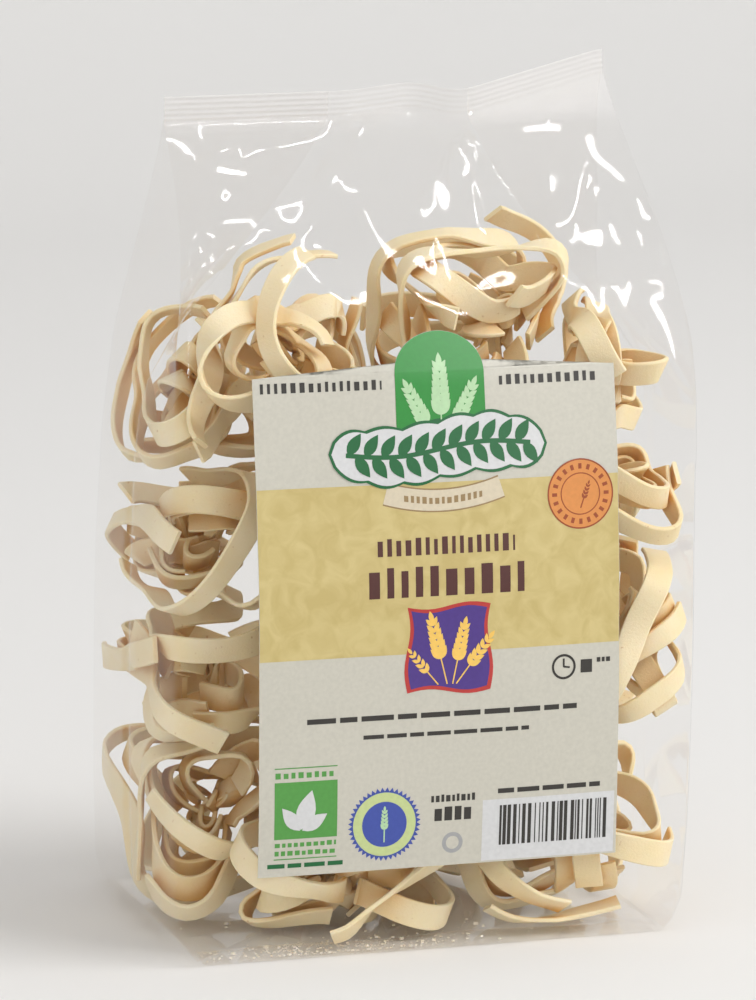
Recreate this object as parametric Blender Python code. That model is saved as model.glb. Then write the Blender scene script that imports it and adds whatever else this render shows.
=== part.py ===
"""A sealed clear bag of dried pasta nests that stands on its flat base, with a paper label on its front.

The bag is one closed solid: the film with everything in it. Objects are in metres, the tables are in mm.
+Z is up, the label faces -Y, and the origin is on the floor under the middle of the bag.
"""

import math

import bpy

MM = 0.001

# Film bag: height -> half width, half depth (label side and back alike) and corner radius of its section.
HALF_WIDTH = ((0, 66.5), (3, 68.6), (9, 70.4), (30, 71.0), (90, 71.2), (130, 70.6), (160, 68.4),
              (180, 65.4), (200, 63.2), (212, 62.7), (226, 62.5))
HALF_DEPTH = ((0, 43.6), (3, 44.8), (9, 45.6), (40, 46.0), (70, 45.8), (100, 44.3), (130, 40.9),
              (155, 36.2), (175, 29.6), (190, 22.0), (202, 14.0), (211, 7.0), (216, 3.2), (219, 1.1),
              (220, 0.7), (226, 0.7))
CORNER_RADIUS = ((0, 3.5), (9, 6.0), (130, 6.0), (175, 4.5), (202, 2.5), (216, 0.9), (219, 0.35), (226, 0.35))

# How far each panel swells out between its folds, and how deep the side pleats are pushed in near the top.
FRONT_SWELL = ((0, 0.0), (12, 1.0), (40, 1.25), (110, 1.25), (160, 1.0), (205, 0.2), (219, 0.0), (226, 0.0))
BACK_SWELL = ((0, 0.0), (12, 1.4), (40, 2.0), (110, 2.0), (160, 1.4), (205, 0.2), (219, 0.0), (226, 0.0))
SIDE_SWELL = ((0, 0.0), (12, 1.4), (60, 2.0), (120, 1.6), (150, 0.6), (165, 0.0), (226, 0.0))
SIDE_PLEAT = ((0, 0.0), (140, 0.0), (165, 6.0), (185, 13.0), (200, 11.0), (211, 5.5), (217, 1.6), (219, 0.0),
              (226, 0.0))

# The nests press the right side out, most of all at its front edge and within RIGHT_EDGE_POWER's reach of it.
# The whole is then moved back to the middle.
RIGHT_PUSH = ((0, 0.0), (10, 1.4), (40, 2.0), (100, 2.5), (125, 3.8), (145, 6.0), (165, 6.5), (180, 5.5),
              (195, 3.8), (210, 1.5), (219, 0.4), (226, 0.0))
PUSH_AT_MIDDLE = 0.55
PUSH_TO_FRONT = 0.45
RIGHT_EDGE_POWER = 6
MIDDLE_SHIFT = -0.96

# The welded strip across the top. It is crimped, and it doesn't stand straight: these are its offsets to the
# back and upwards at fractions of its half width from left to right.
SEAL_BOTTOM = 219.0
SEAL_TOP = 226.0
SEAL_BACK = ((-1.0, 4.0), (-0.22, -2.0), (0.10, 4.0), (0.28, -5.0), (1.0, 12.0))
SEAL_RISE = ((-1.0, -1.8), (-0.22, -0.6), (0.12, 0.5), (0.24, -1.4), (1.0, 6.8))
SEAL_EASE = 0.05
SEAL_BEND_STARTS = 186.0
CRIMP_PITCH = 1.75
CRIMP_DEPTH = 0.3

# Counts of segments around one section and between two crimps.
FRONT_SEGMENTS = 26
SIDE_SEGMENTS = 6
CORNER_SEGMENTS = 3
RINGS_PER_CRIMP = 4
BODY_HEIGHTS = (0, 1.2, 3, 6, 10, 16, 24, 34, 46, 58, 70, 82, 94, 106, 118, 130, 141, 151, 160, 168, 175, 181,
                186, 191, 196, 201, 205, 209, 212, 215, 217)

# Paper label on the front, with an arched tab in the middle of its top edge.
LABEL_HALF_WIDTH = 50.0
LABEL_BOTTOM = 24.0
LABEL_TOP = 155.5
LABEL_GAP = 0.35
LABEL_THICKNESS = 0.4
TAB_CENTRE = 1.0
TAB_HALF_WIDTH = 12.4
TAB_HEIGHT = 10.4
LABEL_COLUMNS = 20
TAB_COLUMNS = 12
LABEL_ROWS = 16


def smooth_step(t):
    """0 to 1 with flat ends, for t from 0 to 1."""
    t = min(1.0, max(0.0, t))
    return t * t * (3.0 - 2.0 * t)


def along(table, at):
    """Straight-line value of a ((position, value), ...) table."""
    if at <= table[0][0]:
        return table[0][1]
    for (low, low_value), (high, high_value) in zip(table, table[1:]):
        if at <= high:
            return low_value + (high_value - low_value) * (at - low) / (high - low)
    return table[-1][1]


def eased(table, at, ease):
    """Value of a table with its corners rounded over a length of about 4 times ease."""
    return sum(along(table, at + step * ease) for step in (-1.5, -0.5, 0.5, 1.5)) / 4.0


def bent(x, y, z):
    """A point of the straight bag moved to where the crooked top strip takes it."""
    share = smooth_step((z - SEAL_BEND_STARTS) / (SEAL_BOTTOM - SEAL_BEND_STARTS))
    place = x / along(HALF_WIDTH, z)
    back = share * eased(SEAL_BACK, place, SEAL_EASE)
    rise = share * eased(SEAL_RISE, place, SEAL_EASE)
    if z > SEAL_BOTTOM:
        back += CRIMP_DEPTH * math.sin(2.0 * math.pi * (z - SEAL_BOTTOM) / CRIMP_PITCH)
    if x > 0.0:
        share_of_push = PUSH_AT_MIDDLE - PUSH_TO_FRONT * y / along(HALF_DEPTH, z)
        x += along(RIGHT_PUSH, z) * share_of_push * min(1.0, place) ** RIGHT_EDGE_POWER
    return ((x + MIDDLE_SHIFT) * MM, (y + back) * MM, (z + rise) * MM)


def front_depth(x, z):
    """How far the front panel stands forward of the bag's middle plane at a place on it."""
    flat = along(HALF_WIDTH, z) - along(CORNER_RADIUS, z)
    return along(HALF_DEPTH, z) + along(FRONT_SWELL, z) * (1.0 - min(1.0, (x / flat) ** 2))


def section(z):
    """Points around the bag at one height, from the front's left end, counter-clockwise from above."""
    half_width = along(HALF_WIDTH, z)
    half_depth = along(HALF_DEPTH, z)
    radius = along(CORNER_RADIUS, z)
    flat_x = half_width - radius
    flat_y = half_depth - radius
    points = []

    def corner(centre_x, centre_y, start):
        for step in range(1, CORNER_SEGMENTS):
            angle = math.radians(start + 90.0 * step / CORNER_SEGMENTS)
            points.append((centre_x + radius * math.cos(angle), centre_y + radius * math.sin(angle)))

    def side(sign):
        for step in range(SIDE_SEGMENTS + 1):
            share = -1.0 + 2.0 * step / SIDE_SEGMENTS
            out = along(SIDE_SWELL, z) * (1.0 - share * share) - along(SIDE_PLEAT, z) * (1.0 - abs(share))
            points.append((sign * (half_width + out), sign * flat_y * share))

    for step in range(FRONT_SEGMENTS + 1):
        x = flat_x * (-1.0 + 2.0 * step / FRONT_SEGMENTS)
        points.append((x, -front_depth(x, z)))
    corner(flat_x, -flat_y, 270.0)
    side(1.0)
    corner(flat_x, flat_y, 0.0)
    for step in range(FRONT_SEGMENTS + 1):
        share = 1.0 - 2.0 * step / FRONT_SEGMENTS
        points.append((flat_x * share, half_depth + along(BACK_SWELL, z) * (1.0 - share * share)))
    corner(-flat_x, flat_y, 90.0)
    side(-1.0)
    corner(-flat_x, -flat_y, 180.0)
    return [bent(x, y, z) for x, y in points]


def make_object(name, vertices, faces, colour, roughness, alpha=1.0):
    """An object with a mesh and a material of its own."""
    mesh = bpy.data.meshes.new(name)
    mesh.from_pydata(vertices, [], faces)
    mesh.validate()
    material = bpy.data.materials.new(name + " surface")
    material.use_nodes = True
    shader = material.node_tree.nodes["Principled BSDF"]
    shader.inputs["Base Color"].default_value = (*colour, 1.0)
    shader.inputs["Roughness"].default_value = roughness
    shader.inputs["Alpha"].default_value = alpha
    mesh.materials.append(material)
    made = bpy.data.objects.new(name, mesh)
    bpy.context.scene.collection.objects.link(made)
    return made


def cap(count, facing_up):
    """Faces that close a ring: strips across it from its front half to its back half."""
    faces = []
    # Each front point is joined to the back point straight behind it. Each side is one face.
    back_left = 2 * (FRONT_SEGMENTS + CORNER_SEGMENTS) + SIDE_SEGMENTS
    for step in range(FRONT_SEGMENTS):
        faces.append((step, step + 1, back_left - step - 1, back_left - step))
    right_side = list(range(FRONT_SEGMENTS, FRONT_SEGMENTS + 2 * CORNER_SEGMENTS + SIDE_SEGMENTS + 1))
    left_side = [(point + count // 2) % count for point in right_side]
    faces.append(tuple(right_side))
    faces.append(tuple(left_side))
    return faces if facing_up else [tuple(reversed(face)) for face in faces]


def make_bag():
    """The bag: sections joined one over another, with a flat base and a flat top."""
    seal_height = SEAL_TOP - SEAL_BOTTOM
    rings_in_seal = round(seal_height / CRIMP_PITCH) * RINGS_PER_CRIMP
    heights = list(BODY_HEIGHTS)
    heights += [SEAL_BOTTOM + seal_height * ring / rings_in_seal for ring in range(rings_in_seal + 1)]
    rings = [section(z) for z in heights]
    count = len(rings[0])
    vertices = [point for ring in rings for point in ring]
    faces = cap(count, facing_up=False)
    for ring in range(len(rings) - 1):
        low = ring * count
        high = low + count
        for point in range(count):
            following = (point + 1) % count
            faces.append((low + point, low + following, high + following, high + point))
    top = (len(rings) - 1) * count
    faces += [tuple(top + point for point in face) for face in cap(count, facing_up=True)]
    return make_object("bag", vertices, faces, (0.90, 0.80, 0.58), 0.25, 0.6)


def label_columns():
    """Places across the label: even ones left and right of the tab, and ones on a half circle across it."""
    steps = LABEL_COLUMNS // 2
    tab_left = TAB_CENTRE - TAB_HALF_WIDTH
    tab_right = TAB_CENTRE + TAB_HALF_WIDTH
    left = [-LABEL_HALF_WIDTH + (tab_left + LABEL_HALF_WIDTH) * step / steps for step in range(steps)]
    angles = [math.pi * step / TAB_COLUMNS for step in range(TAB_COLUMNS + 1)]
    across = [TAB_CENTRE - TAB_HALF_WIDTH * math.cos(angle) for angle in angles]
    right = [tab_right + (LABEL_HALF_WIDTH - tab_right) * step / steps for step in range(1, steps + 1)]
    return left + across + right


def label_top(x):
    """Height of the label's top edge at a place across it."""
    off = abs(x - TAB_CENTRE) / TAB_HALF_WIDTH
    if off >= 1.0:
        return LABEL_TOP
    return LABEL_TOP + TAB_HEIGHT * math.sqrt(1.0 - off ** 2)


def make_label():
    """The label: a thin plate that follows the bag's front."""
    columns = label_columns()
    sheets = []
    for stand_off in (LABEL_GAP + LABEL_THICKNESS, LABEL_GAP):
        sheet = []
        for row in range(LABEL_ROWS + 1):
            for x in columns:
                z = LABEL_BOTTOM + (label_top(x) - LABEL_BOTTOM) * row / LABEL_ROWS
                sheet.append(((x + MIDDLE_SHIFT) * MM, -(front_depth(x, z) + stand_off) * MM, z * MM))
        sheets.append(sheet)
    across = len(columns)
    behind = across * (LABEL_ROWS + 1)
    faces = []
    for row in range(LABEL_ROWS):
        for column in range(across - 1):
            corner = row * across + column
            quad = (corner, corner + 1, corner + across + 1, corner + across)
            faces.append(quad)
            faces.append(tuple(behind + point for point in reversed(quad)))
    top_row = LABEL_ROWS * across
    rim = list(range(across))
    rim += [row * across + across - 1 for row in range(1, LABEL_ROWS + 1)]
    rim += [top_row + column for column in range(across - 2, -1, -1)]
    rim += [row * across for row in range(LABEL_ROWS - 1, 0, -1)]
    for here, following in zip(rim, rim[1:] + rim[:1]):
        faces.append((following, here, behind + here, behind + following))
    return make_object("label", sheets[0] + sheets[1], faces, (0.86, 0.84, 0.76), 0.5)


for old in list(bpy.data.objects):
    bpy.data.objects.remove(old)
make_bag()
make_label()
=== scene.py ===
"""A clear film bag of dried pasta nests with a paper label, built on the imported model's frame.

Lengths are in millimetres until a mesh is made. +Z is up, the label faces -Y, and the origin is on the floor
under the middle of the bag.
"""

import math

import bmesh
import bpy
import numpy as np
from mathutils import Matrix, Vector


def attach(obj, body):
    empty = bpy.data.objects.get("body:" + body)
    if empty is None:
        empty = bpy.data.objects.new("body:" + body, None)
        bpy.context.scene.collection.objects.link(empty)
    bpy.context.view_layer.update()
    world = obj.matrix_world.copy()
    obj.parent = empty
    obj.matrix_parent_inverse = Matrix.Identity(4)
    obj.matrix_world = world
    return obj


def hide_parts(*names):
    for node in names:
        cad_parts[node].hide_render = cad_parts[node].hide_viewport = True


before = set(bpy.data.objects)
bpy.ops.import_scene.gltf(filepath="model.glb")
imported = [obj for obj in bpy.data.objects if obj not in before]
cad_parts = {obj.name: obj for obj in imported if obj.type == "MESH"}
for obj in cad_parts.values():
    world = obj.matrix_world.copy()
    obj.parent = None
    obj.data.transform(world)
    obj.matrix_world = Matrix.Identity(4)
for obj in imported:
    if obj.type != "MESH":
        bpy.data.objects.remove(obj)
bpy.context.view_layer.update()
MM = 0.001

# ---------------------------------------------------------------------------------------------------------
# Bag sizes, in mm: height -> half width, half depth, corner radius, and how far each panel swells out.
# ---------------------------------------------------------------------------------------------------------
HALF_WIDTH = ((0, 66.5), (3, 68.6), (9, 70.4), (30, 71.0), (90, 71.2), (130, 70.6), (160, 68.4),
              (180, 65.4), (200, 63.2), (212, 62.7), (226, 62.5))
HALF_DEPTH = ((0, 43.6), (3, 44.8), (9, 45.6), (40, 46.0), (70, 45.8), (100, 44.3), (130, 40.9),
              (155, 36.2), (175, 29.6), (190, 22.0), (202, 14.0), (211, 7.0), (216, 3.2), (219, 1.1),
              (220, 0.7), (226, 0.7))
CORNER_RADIUS = ((0, 3.5), (9, 6.0), (130, 6.0), (175, 4.5), (202, 2.5), (216, 0.9), (219, 0.35), (226, 0.35))
FRONT_SWELL = ((0, 0.0), (12, 1.0), (40, 1.25), (110, 1.25), (160, 1.0), (205, 0.2), (219, 0.0), (226, 0.0))
BACK_SWELL = ((0, 0.0), (12, 1.4), (40, 2.0), (110, 2.0), (160, 1.4), (205, 0.2), (219, 0.0), (226, 0.0))
SIDE_SWELL = ((0, 0.0), (12, 1.4), (60, 2.0), (120, 1.6), (150, 0.6), (165, 0.0), (226, 0.0))
# How far each side's film is folded in between the front and the back, near the top.
FILM_PLEAT = ((0, 0.0), (140, 0.0), (150, 1.5), (165, 9.0), (180, 20.0), (195, 30.0), (208, 38.0),
              (219, 43.5), (226, 43.5))
# The nests press the right side out, most of all at its front edge. The whole is then moved back to
# the middle.
RIGHT_PUSH = ((0, 0.0), (10, 1.4), (40, 2.0), (100, 2.5), (125, 3.8), (145, 6.0), (165, 6.5), (180, 5.5),
              (195, 3.8), (210, 1.5), (219, 0.4), (226, 0.0))
PUSH_AT_MIDDLE = 0.55
PUSH_TO_FRONT = 0.45
RIGHT_EDGE_POWER = 6
MIDDLE_SHIFT = -0.96
SEAL_BOTTOM = 219.0
SEAL_TOP = 226.0

# Each nest: name, middle (x, y, z), half sizes along x, y and z, winding axis, seed.
NESTS = (
    ("nest_low_left", (-46.0, 9.0, 29.0), (31.0, 37.0, 29.0), (-0.35, -0.80, 0.45), 11),
    ("nest_low_front", (-20.0, -24.0, 18.0), (37.0, 31.0, 26.0), (0.15, -0.45, 0.85), 12),
    ("nest_low_right", (44.0, -17.0, 29.0), (36.0, 35.0, 31.0), (0.45, -0.70, 0.55), 13),
    ("nest_low_back", (9.0, 25.0, 24.0), (31.0, 25.0, 24.0), (0.05, 0.30, 0.95), 14),
    ("nest_left_second", (-48.0, 9.0, 68.5), (30.0, 38.0, 22.5), (-0.10, -0.15, 0.98), 35),
    ("nest_left_third", (-48.0, 9.0, 106.0), (30.0, 38.0, 22.5), (0.22, -0.15, 0.95), 36),
    ("nest_left_fourth", (-50.0, 14.0, 143.0), (27.0, 30.0, 26.0), (-0.75, -0.45, 0.45), 17),
    ("nest_middle_second", (-6.0, -21.0, 60.0), (30.0, 27.0, 25.0), (0.10, -0.90, 0.30), 18),
    ("nest_middle_third", (-6.0, -18.0, 106.0), (30.0, 29.0, 25.0), (0.20, 0.25, 0.95), 19),
    ("nest_back_second", (12.0, 23.0, 68.0), (33.0, 26.0, 25.0), (0.20, 0.85, 0.35), 20),
    ("nest_back_third", (14.0, 20.0, 114.0), (33.0, 27.0, 25.0), (-0.20, 0.40, 0.90), 21),
    ("nest_right_second", (58.0, -19.0, 78.0), (19.0, 34.0, 30.0), (0.93, -0.30, -0.10), 22),
    ("nest_right_third", (55.0, -20.0, 118.0), (30.0, 33.0, 21.0), (0.20, -0.25, 0.94), 23),
    ("nest_right_fourth", (54.0, -15.0, 147.0), (29.0, 31.0, 24.0), (0.55, -0.35, 0.75), 26),
    ("nest_top_left", (-32.0, -12.0, 156.0), (34.0, 30.0, 30.0), (-0.25, -0.85, 0.25), 24),
    ("nest_top_right", (24.0, -7.0, 162.0), (35.0, 30.0, 26.0), (0.05, -0.45, 0.88), 25),
)

# Ribbons: least and greatest width and thickness, step along them, and the gap kept between them.
RIBBON_WIDTH = (6.3, 7.6)
RIBBON_THICKNESS = (1.15, 1.4)
RIBBON_CHAMFER = 0.28
STATION_STEP = 2.3
GAP = 0.2

# Winding: loop radii that turn a length into an angle, and stations pressed down together. A strand is
# dropped where it nears the nest's middle, and where it is short.
SMALLEST_LOOP = 15.0
USUAL_LOOP = 22.0
TURN = 6.28
CHUNK = 14
PRESS_ROUNDS = 4
PRESS_REACH = 6
SMOOTH_REACH = 5
DEEPEST = 0.26
SHORTEST_STATIONS = 11
CUBE_CELLS = 54

# A nest's outer form: a rounded box, a little flatter along its winding axis, with low bumps.
NEST_BOXINESS = 3.4
NEST_FLATNESS = 0.05
NEST_BUMPS = 5
BUMP_HEIGHT = 0.03
BUMP_PACE = 3.2

# Bundles of loops in each nest: lowest and highest latitude, tilt from the winding axis, count of strands.
BUNDLES = ((-0.90, -0.05, 0.12, 11), (0.05, 0.90, 0.20, 11), (-0.45, 0.45, 0.45, 8), (-0.45, 0.45, 1.05, 6))
LOOSE_ENDS = 3
CORE_STRANDS = 10


def along(table, at):
    """Straight-line value of a ((position, value), ...) table, for one number or an array."""
    return np.interp(at, [row[0] for row in table], [row[1] for row in table])


def unit(vectors):
    """The same vectors at length 1."""
    vectors = np.asarray(vectors, dtype=float)
    return vectors / np.maximum(np.linalg.norm(vectors, axis=-1, keepdims=True), 1e-9)


def share_of_push(y, half_depth):
    """How much of the right side's push reaches a place: most at the front edge, least at the back one."""
    return np.maximum(PUSH_AT_MIDDLE - PUSH_TO_FRONT * y / half_depth, 0.0)


def new_material(name):
    """A material and its shader node."""
    material = bpy.data.materials.new(name)
    material.use_nodes = True
    return material, material.node_tree.nodes["Principled BSDF"]


def set_inputs(material, node, inputs):
    """Links an input where its value is another node's socket, and sets it where it is a plain value."""
    for name, value in inputs.items():
        if isinstance(value, bpy.types.NodeSocket):
            material.node_tree.links.new(value, node.inputs[name])
        else:
            node.inputs[name].default_value = value


def add_node(material, kind, inputs, **settings):
    """A new shader node with its settings and inputs."""
    node = material.node_tree.nodes.new("ShaderNode" + kind)
    for name, value in settings.items():
        setattr(node, name, value)
    set_inputs(material, node, inputs)
    return node


def add_noise(material, scale, detail, roughness=0.5, distortion=0.0):
    """The value of a noise in the piece's own coordinates."""
    place = add_node(material, "TexCoord", {})
    noise = add_node(material, "TexNoise", {
        "Vector": place.outputs["Object"],
        "Scale": scale,
        "Detail": detail,
        "Roughness": roughness,
        "Distortion": distortion,
    })
    return noise.outputs["Fac"]


def add_ramp(material, factor, places, low_colour=(0.0, 0.0, 0.0), high_colour=(1.0, 1.0, 1.0)):
    """The colour of a ramp with two stops."""
    ramp = add_node(material, "ValToRGB", {"Fac": factor})
    for stop, place, colour in zip(ramp.color_ramp.elements, places, (low_colour, high_colour)):
        stop.position = place
        stop.color = (*colour, 1.0)
    return ramp.outputs["Color"]


def add_mix(material, factor, first, second, blend_type="MIX"):
    """The mixed colour of two colours."""
    mix = add_node(material, "Mix", {"Factor": factor, "A": first, "B": second},
                   data_type="RGBA", blend_type=blend_type)
    return mix.outputs["Result"]


# ---------------------------------------------------------------------------------------------------------
# Nests. Each is wound from the outside in: a strand lies on the nest's outer surface or just under what
# covers it, so no two strands run through each other.
# ---------------------------------------------------------------------------------------------------------
def cube_directions(count):
    """Unit vectors through the middles of a cube's cells, face by face."""
    middles = np.tan((np.arange(count) + 0.5) / count * math.pi / 2.0 - math.pi / 4.0)
    first, second = np.meshgrid(middles, middles, indexing="ij")
    faces = []
    for axis in range(3):
        for sign in (1.0, -1.0):
            face = np.empty((count, count, 3))
            face[..., axis] = sign
            face[..., (axis + 1) % 3] = first
            face[..., (axis + 2) % 3] = second
            faces.append(face.reshape(-1, 3))
    return unit(np.concatenate(faces))


STAMP_LANES = np.linspace(-0.58, 0.58, 15)
SPHERE = cube_directions(CUBE_CELLS)


def nearest(directions):
    """Index of the cube cell that each direction goes through."""
    size = np.abs(directions)
    axis = np.argmax(size, axis=-1)
    main = np.take_along_axis(directions, axis[..., None], -1)[..., 0]
    scale = 1.0 / np.maximum(np.abs(main), 1e-9)
    face = 2 * axis + (main < 0.0)
    cells = []
    for step in (1, 2):
        part = np.take_along_axis(directions, ((axis + step) % 3)[..., None], -1)[..., 0] * scale
        place = (np.arctan(part) + math.pi / 4.0) / (math.pi / 2.0) * CUBE_CELLS
        cells.append(np.clip(place.astype(int), 0, CUBE_CELLS - 1))
    return (face * CUBE_CELLS + cells[0]) * CUBE_CELLS + cells[1]


def inside_bag(points, wall):
    """Whether points are inside the bag, at least a wall's distance from its film."""
    x, y, z = points[..., 0], points[..., 1], points[..., 2]
    half_width = along(HALF_WIDTH, z) + 0.6 * along(SIDE_SWELL, z) - wall
    half_depth = along(HALF_DEPTH, z) + 0.2 - wall
    inner_depth = np.maximum(along(HALF_DEPTH, z) - 2.0, 1.0)
    pleat = along(FILM_PLEAT, z) * np.maximum(0.0, 1.0 - np.abs(y) / inner_depth)
    push = along(RIGHT_PUSH, z) * share_of_push(y, np.maximum(along(HALF_DEPTH, z), 1.0)) * (x > 0.0)
    half_width = half_width - pleat * 1.1 + push
    corner = np.maximum(along(CORNER_RADIUS, z) - wall, 0.5)
    over_x = np.maximum(np.abs(x) - (half_width - corner), 0.0)
    over_y = np.maximum(np.abs(y) - (half_depth - corner), 0.0)
    return (np.hypot(over_x, over_y) < corner) & (z > wall + 0.4) & (z < SEAL_BOTTOM - 8.0)


def nest_frame(axis):
    """Rows are a nest's own two cross axes and its winding axis."""
    axis = unit(axis)
    helper = np.array([0.0, 0.0, 1.0]) if abs(axis[2]) < 0.8 else np.array([1.0, 0.0, 0.0])
    across = unit(np.cross(helper, axis))
    return np.stack([across, np.cross(axis, across), axis])


def soft_least(limits, power=22.0):
    """The least of several reaches, with its corners rounded."""
    return np.sum(np.array(limits) ** -power, axis=0) ** (-1.0 / power)


def nest_envelope(index, wall=1.3):
    """How far a nest reaches from its middle in each sphere direction, and how far it has room to."""
    _, centre, half_sizes, axis, seed = NESTS[index]
    centre = np.array(centre)
    along_axis = (SPHERE @ nest_frame(axis).T)[:, 2]
    reach = np.sum((np.abs(SPHERE) / np.array(half_sizes)) ** NEST_BOXINESS, axis=1) ** (-1.0 / NEST_BOXINESS)
    reach *= 1.0 - NEST_FLATNESS * along_axis ** 2
    draw = np.random.default_rng(seed)
    for _ in range(NEST_BUMPS):
        heading = unit(draw.normal(size=3)) * BUMP_PACE
        reach *= 1.0 + BUMP_HEIGHT * np.sin(SPHERE @ heading + draw.uniform(0, 6.3))
    # It stops at a plane between it and each neighbour, and at the film.
    limits = []
    for other, (_, other_centre, other_sizes, _, _) in enumerate(NESTS):
        if other == index:
            continue
        apart = np.array(other_centre) - centre
        distance = np.linalg.norm(apart)
        towards = apart / distance
        mine = np.sqrt(np.sum((np.array(half_sizes) * towards) ** 2))
        theirs = np.sqrt(np.sum((np.array(other_sizes) * towards) ** 2))
        if distance > (mine + theirs) * 1.1:
            continue
        plane = distance * mine / (mine + theirs) - 0.3
        facing = SPHERE @ towards
        limits.append(np.where(facing > 0.05, plane / np.maximum(facing, 0.05), 900.0))
    low = np.full(len(SPHERE), 3.0)
    high = np.full(len(SPHERE), 45.0)
    for _ in range(16):
        middle = 0.5 * (low + high)
        within = inside_bag(centre + SPHERE * middle[:, None], wall)
        low = np.where(within, middle, low)
        high = np.where(within, high, middle)
    limits.append(low)
    room = soft_least(limits)
    return soft_least([room, reach]), room


def wander(draw, positions, size, length):
    """A smooth random wave along a strand, with features about the given length."""
    total = np.zeros_like(positions)
    for octave in (1.0, 1.7, 2.9):
        total += np.sin(positions * 2.0 * math.pi * octave / length + draw.uniform(0, 6.3)) / octave
    return total * size / 1.6


def spread(deficit, reach):
    """Widens and smooths a deficit without ever going below it."""
    padded = np.pad(deficit, reach, mode="edge")
    windows = np.lib.stride_tricks.sliding_window_view(padded, 2 * reach + 1)
    widest = np.pad(windows.max(axis=1), reach, mode="edge")
    weights = np.hanning(2 * reach + 3)[1:-1]
    windows = np.lib.stride_tricks.sliding_window_view(widest, 2 * reach + 1)
    return windows @ (weights / weights.sum())


def smoothed(values, reach):
    """Values averaged along a strand with a bell weight."""
    weights = np.hanning(2 * reach + 3)[1:-1]
    weights = weights / weights.sum()
    padded = np.pad(values, [(reach, reach)] + [(0, 0)] * (values.ndim - 1), mode="edge")
    return sum(weights[k] * padded[k:k + len(values)] for k in range(2 * reach + 1))


class Strand:
    """One ribbon: its path about the nest's middle, and the heights of its two edges above it."""

    def __init__(self, directions, left, right, width, thickness):
        self.directions = directions
        self.left = left
        self.right = right
        self.width = width
        self.thickness = thickness

    def placed(self):
        """Centre points, across vectors and outward normals."""
        radius = 0.5 * (self.left + self.right)
        centres = self.directions * radius[:, None]
        tangents = unit(np.gradient(centres, axis=0))
        outward = unit(self.directions - np.sum(self.directions * tangents, axis=1, keepdims=True) * tangents)
        beside = np.cross(tangents, outward)
        slope = np.clip((self.left - self.right) / self.width, -0.9, 0.9)
        level = np.sqrt(1.0 - slope ** 2)
        across = beside * level[:, None] - outward * slope[:, None]
        normal = outward * level[:, None] + beside * slope[:, None]
        return centres, across, normal

    def lanes(self, shares):
        """Points on the ribbon's middle sheet at shares of its width from -0.5 to 0.5."""
        centres, across, _ = self.placed()
        return centres[:, None, :] + across[:, None, :] * (np.array(shares) * self.width)[None, :, None]


def stamp(ceiling, strand, start, stop):
    """Lowers the ceiling to just under a stretch of a strand."""
    points = strand.lanes(STAMP_LANES)[start:stop]
    if len(points) < 2:
        return
    pieces = [points[:-1] * (1.0 - share) + points[1:] * share for share in (0.0, 0.25, 0.5, 0.75)]
    points = np.concatenate(pieces).reshape(-1, 3)
    radius = np.linalg.norm(points, axis=1)
    under = radius - strand.thickness * 0.6 - GAP
    np.minimum.at(ceiling, nearest(points / radius[:, None]), under)


def long_stretches(strand):
    """The stretches of a strand that stay clear of the nest's hollow middle."""
    depth = 0.5 * (strand.left + strand.right)
    clear = depth > DEEPEST * (depth.max() + 3.0)
    stretches = []
    start = None
    for station, good in enumerate(list(clear) + [False]):
        if good and start is None:
            start = station
        if not good and start is not None:
            if station - start >= SHORTEST_STATIONS:
                stretches.append(Strand(strand.directions[start:station], strand.left[start:station],
                                        strand.right[start:station], strand.width, strand.thickness))
            start = None
    return stretches


def strand_path(draw, bundle, frame_rows, envelope):
    """Directions of a strand's stations, evenly spaced along it, and each station's place in mm."""
    swept = np.arange(0.0, bundle["length"] / SMALLEST_LOOP, 0.03)
    lengths = swept * USUAL_LOOP
    latitude = bundle["latitude"] + bundle["drift"] * swept / TURN
    latitude = latitude + wander(draw, lengths, 0.05, 90.0)
    tilt = bundle["tilt"] + draw.normal() * 0.03 + wander(draw, lengths, 0.04, 120.0)
    swing = bundle["swing"] + draw.normal() * 0.05 + bundle["precession"] * swept / TURN
    angle = bundle["start"] + draw.uniform(-0.9, 0.9) + swept
    x = np.cos(angle) * np.cos(latitude)
    y = np.sin(angle) * np.cos(latitude)
    z = np.sin(latitude)
    y, z = y * np.cos(tilt) - z * np.sin(tilt), y * np.sin(tilt) + z * np.cos(tilt)
    x, y = x * np.cos(swing) - y * np.sin(swing), x * np.sin(swing) + y * np.cos(swing)
    directions = np.stack([x, y, z], axis=1) @ frame_rows
    points = directions * envelope[nearest(directions)][:, None] * 0.9
    run = np.concatenate([[0.0], np.cumsum(np.linalg.norm(np.diff(points, axis=0), axis=1))])
    stations = np.arange(0.0, min(bundle["length"], run[-1]), STATION_STEP)
    return unit(np.stack([np.interp(stations, run, directions[:, k]) for k in range(3)], axis=1)), stations


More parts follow.
